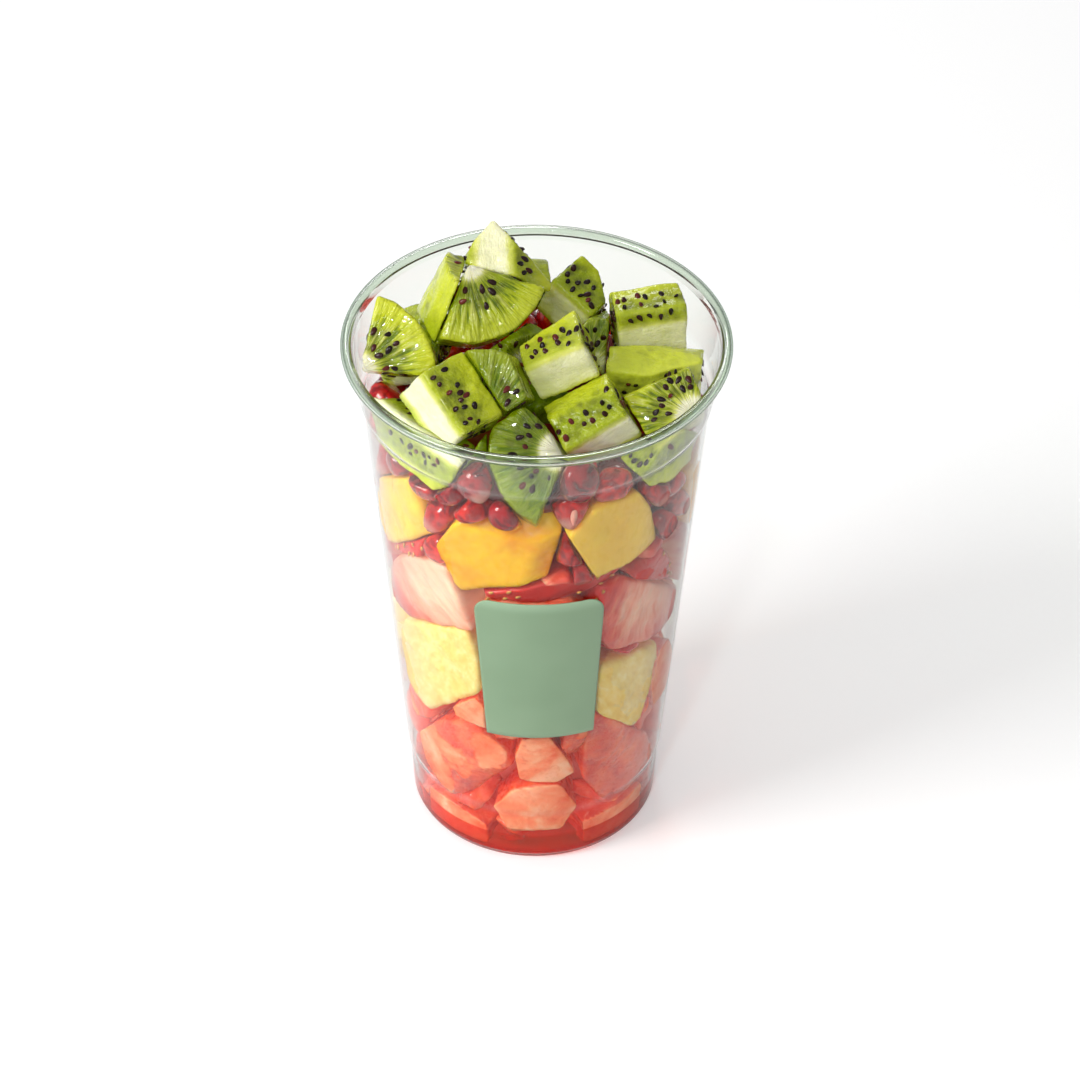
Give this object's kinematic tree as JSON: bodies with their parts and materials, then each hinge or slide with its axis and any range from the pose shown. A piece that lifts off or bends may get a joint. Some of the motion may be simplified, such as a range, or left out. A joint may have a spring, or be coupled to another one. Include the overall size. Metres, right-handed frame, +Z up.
{
  "type": "fruit cup",
  "caption": "Clear plastic cup filled with layers of cut fruit, with kiwi chunks heaped above the rim.",
  "frame": {"origin": "middle of the foot ring, on the surface that the cup stands on", "axes": "+Z up along the cup's axis, and -Y towards the side with the label"},
  "size_m": [0.0978, 0.0978, 0.176],
  "materials": {
    "cup": "clear thin plastic with a faint green tint",
    "label": "smooth matt sage green label",
    "watermelon": "wet crumbly coral red flesh",
    "pineapple": "wet pale yellow fibrous flesh",
    "strawberry": "red skin with seeds and pale cut faces",
    "mango": "smooth wet golden yellow flesh",
    "pomegranate": "glossy translucent deep red seeds",
    "kiwi": "wet translucent green flesh with dark seeds and a pale core"
  },
  "bodies": {
    "root": {"cup": "cup", "label": "label", "watermelon": "watermelon", "pineapple": "pineapple", "strawberry": "strawberry", "mango": "mango", "pomegranate": "pomegranate", "kiwi_01": "kiwi", "kiwi_02": "kiwi", "kiwi_03": "kiwi", "kiwi_04": "kiwi", "kiwi_05": "kiwi", "kiwi_06": "kiwi", "kiwi_07": "kiwi", "kiwi_08": "kiwi", "kiwi_09": "kiwi", "kiwi_10": "kiwi", "kiwi_11": "kiwi", "kiwi_12": "kiwi", "kiwi_13": "kiwi", "kiwi_14": "kiwi", "kiwi_15": "kiwi", "kiwi_16": "kiwi", "kiwi_17": "kiwi", "kiwi_18": "kiwi", "kiwi_19": "kiwi"}
  },
  "joints": []
}
